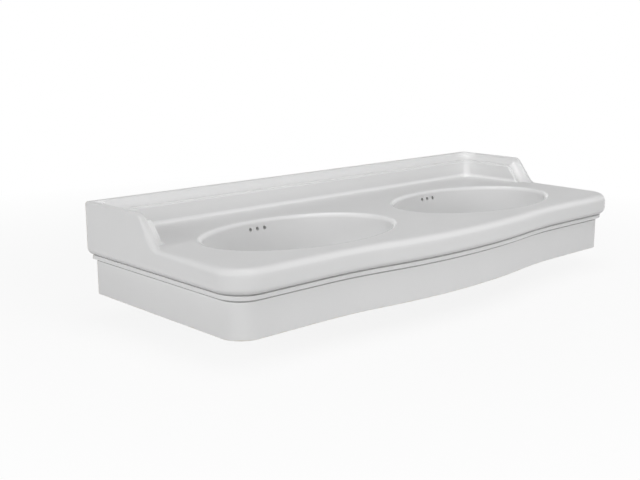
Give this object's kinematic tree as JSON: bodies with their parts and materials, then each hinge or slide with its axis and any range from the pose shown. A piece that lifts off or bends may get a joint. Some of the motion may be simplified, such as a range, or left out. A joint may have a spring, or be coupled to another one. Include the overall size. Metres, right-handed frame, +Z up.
{
  "type": "double washbasin",
  "caption": "Wall-hung double washbasin with a bowed apron, rolled rim, moulded upstand, oval bowls and push-to-open wastes.",
  "frame": {"origin": "on the flat back face, mid-width, at the height of the wall fixings, 60 mm above the apron's lower edge", "axes": "+Y into the wall, +Z up, +X to the right as seen by someone standing in front of the basin"},
  "size_m": [1.2, 0.5067, 0.244],
  "materials": {
    "glazed_ceramic": "white glaze",
    "chromed_brass": "polished chrome",
    "brass": "turned brass",
    "black_rubber": "matt",
    "grey_rubber": "matt foam rubber",
    "white_plastic": "natural nylon",
    "black_plastic": "moulded",
    "spring_steel": "drawn wire"
  },
  "bodies": {
    "basin": {"ceramic_basin": "glazed_ceramic", "fixing_bushes": "white_plastic", "left_waste_body": "chromed_brass", "left_flange_seal": "grey_rubber", "left_cone_seal": "black_rubber", "left_slip_washer": "white_plastic", "left_back_nut": "brass", "left_cartridge_housing": "black_plastic", "left_cartridge_nut": "brass", "left_cartridge_collar": "brass", "left_click_spring": "spring_steel", "right_waste_body": "chromed_brass", "right_flange_seal": "grey_rubber", "right_cone_seal": "black_rubber", "right_slip_washer": "white_plastic", "right_back_nut": "brass", "right_cartridge_housing": "black_plastic", "right_cartridge_nut": "brass", "right_cartridge_collar": "brass", "right_click_spring": "spring_steel"},
    "left_plug": {"left_plug_cap": "chromed_brass", "left_plug_seal": "black_rubber", "left_click_spindle": "brass"},
    "right_plug": {"right_plug_cap": "chromed_brass", "right_plug_seal": "black_rubber", "right_click_spindle": "brass"}
  },
  "joints": [
    {"name": "left_plug_travel", "type": "slide", "parent": "basin", "child": "left_plug", "axis": [0, 0, 1], "range_m": [-0.0095, 0], "stiffness_N_per_m": 250, "springref_m": 0.02, "deforming": ["left_click_spring"]},
    {"name": "right_plug_travel", "type": "slide", "parent": "basin", "child": "right_plug", "axis": [0, 0, 1], "range_m": [-0.0095, 0], "stiffness_N_per_m": 250, "springref_m": 0.02, "deforming": ["right_click_spring"]}
  ]
}
